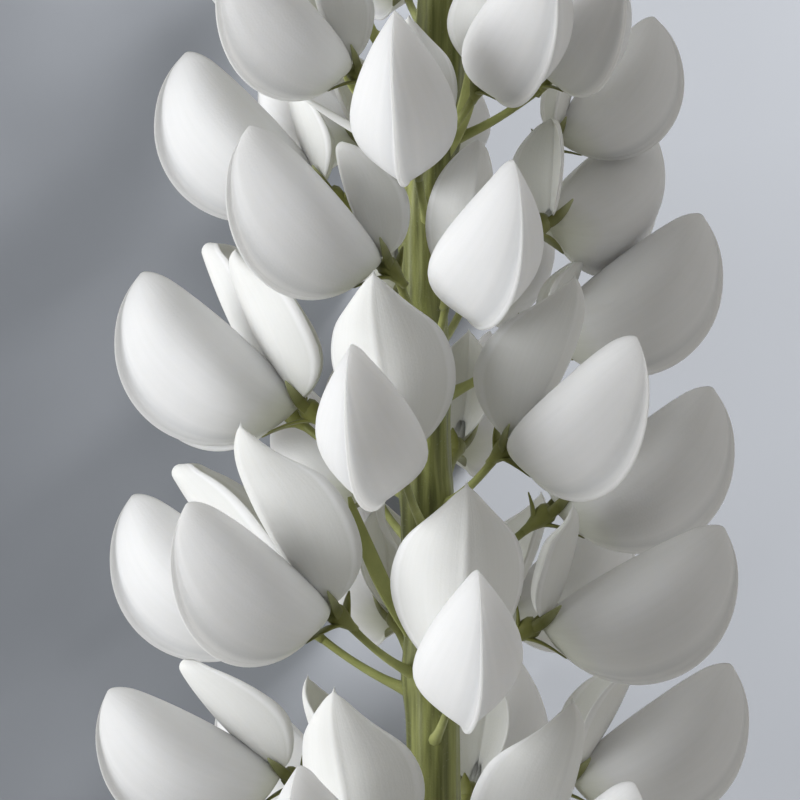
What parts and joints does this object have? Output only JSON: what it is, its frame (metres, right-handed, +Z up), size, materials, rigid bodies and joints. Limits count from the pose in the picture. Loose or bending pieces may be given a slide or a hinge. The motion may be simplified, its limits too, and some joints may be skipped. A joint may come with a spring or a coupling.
{
  "type": "lupine flower spike",
  "caption": "Cut flower spike of a white lupine lying on its side: whorls of pea-shaped blooms on thin stalks round one green stem, with a cone of closed buds at the tip.",
  "frame": {"origin": "centre of the bounding box in plan, on the surface that the spike lies on", "axes": "+Y along the spike from its cut end to its bud tip, +Z up, the pictured side facing up"},
  "size_m": [0.0586, 0.2014, 0.0548],
  "materials": {
    "petal_white": "satin white petal, soft and slightly translucent; fabric stands in for petal",
    "stalk_green": "matt olive green stem with fine short hairs; fabric stands in for plant stem",
    "bud_pale_green": "matt pale green closed buds; fabric stands in for bud"
  },
  "bodies": {
    "root": {"bloom_01": "petal_white", "bloom_02": "petal_white", "bloom_03": "petal_white", "bloom_04": "petal_white", "bloom_05": "petal_white", "bloom_06": "petal_white", "bloom_07": "petal_white", "bloom_08": "petal_white", "bloom_09": "petal_white", "bloom_10": "petal_white", "bloom_11": "petal_white", "bloom_12": "petal_white", "bloom_13": "petal_white", "bloom_14": "petal_white", "bloom_15": "petal_white", "bloom_16": "petal_white", "bloom_17": "petal_white", "bloom_18": "petal_white", "bloom_19": "petal_white", "bloom_20": "petal_white", "bloom_21": "petal_white", "bloom_22": "petal_white", "bloom_23": "petal_white", "bloom_24": "petal_white", "bloom_25": "petal_white", "bloom_26": "petal_white", "bloom_27": "petal_white", "bloom_28": "petal_white", "bloom_29": "petal_white", "bloom_30": "petal_white", "bloom_31": "petal_white", "bloom_32": "petal_white", "bloom_33": "petal_white", "bloom_34": "petal_white", "bloom_35": "petal_white", "bloom_36": "petal_white", "bloom_37": "petal_white", "bloom_38": "petal_white", "bloom_39": "petal_white", "bloom_40": "petal_white", "bloom_41": "petal_white", "bloom_42": "petal_white", "bloom_43": "petal_white", "bloom_44": "petal_white", "bloom_45": "petal_white", "bloom_46": "petal_white", "bloom_47": "petal_white", "bloom_48": "petal_white", "flower_stalk": "stalk_green", "bud_tip": "bud_pale_green"}
  },
  "joints": []
}
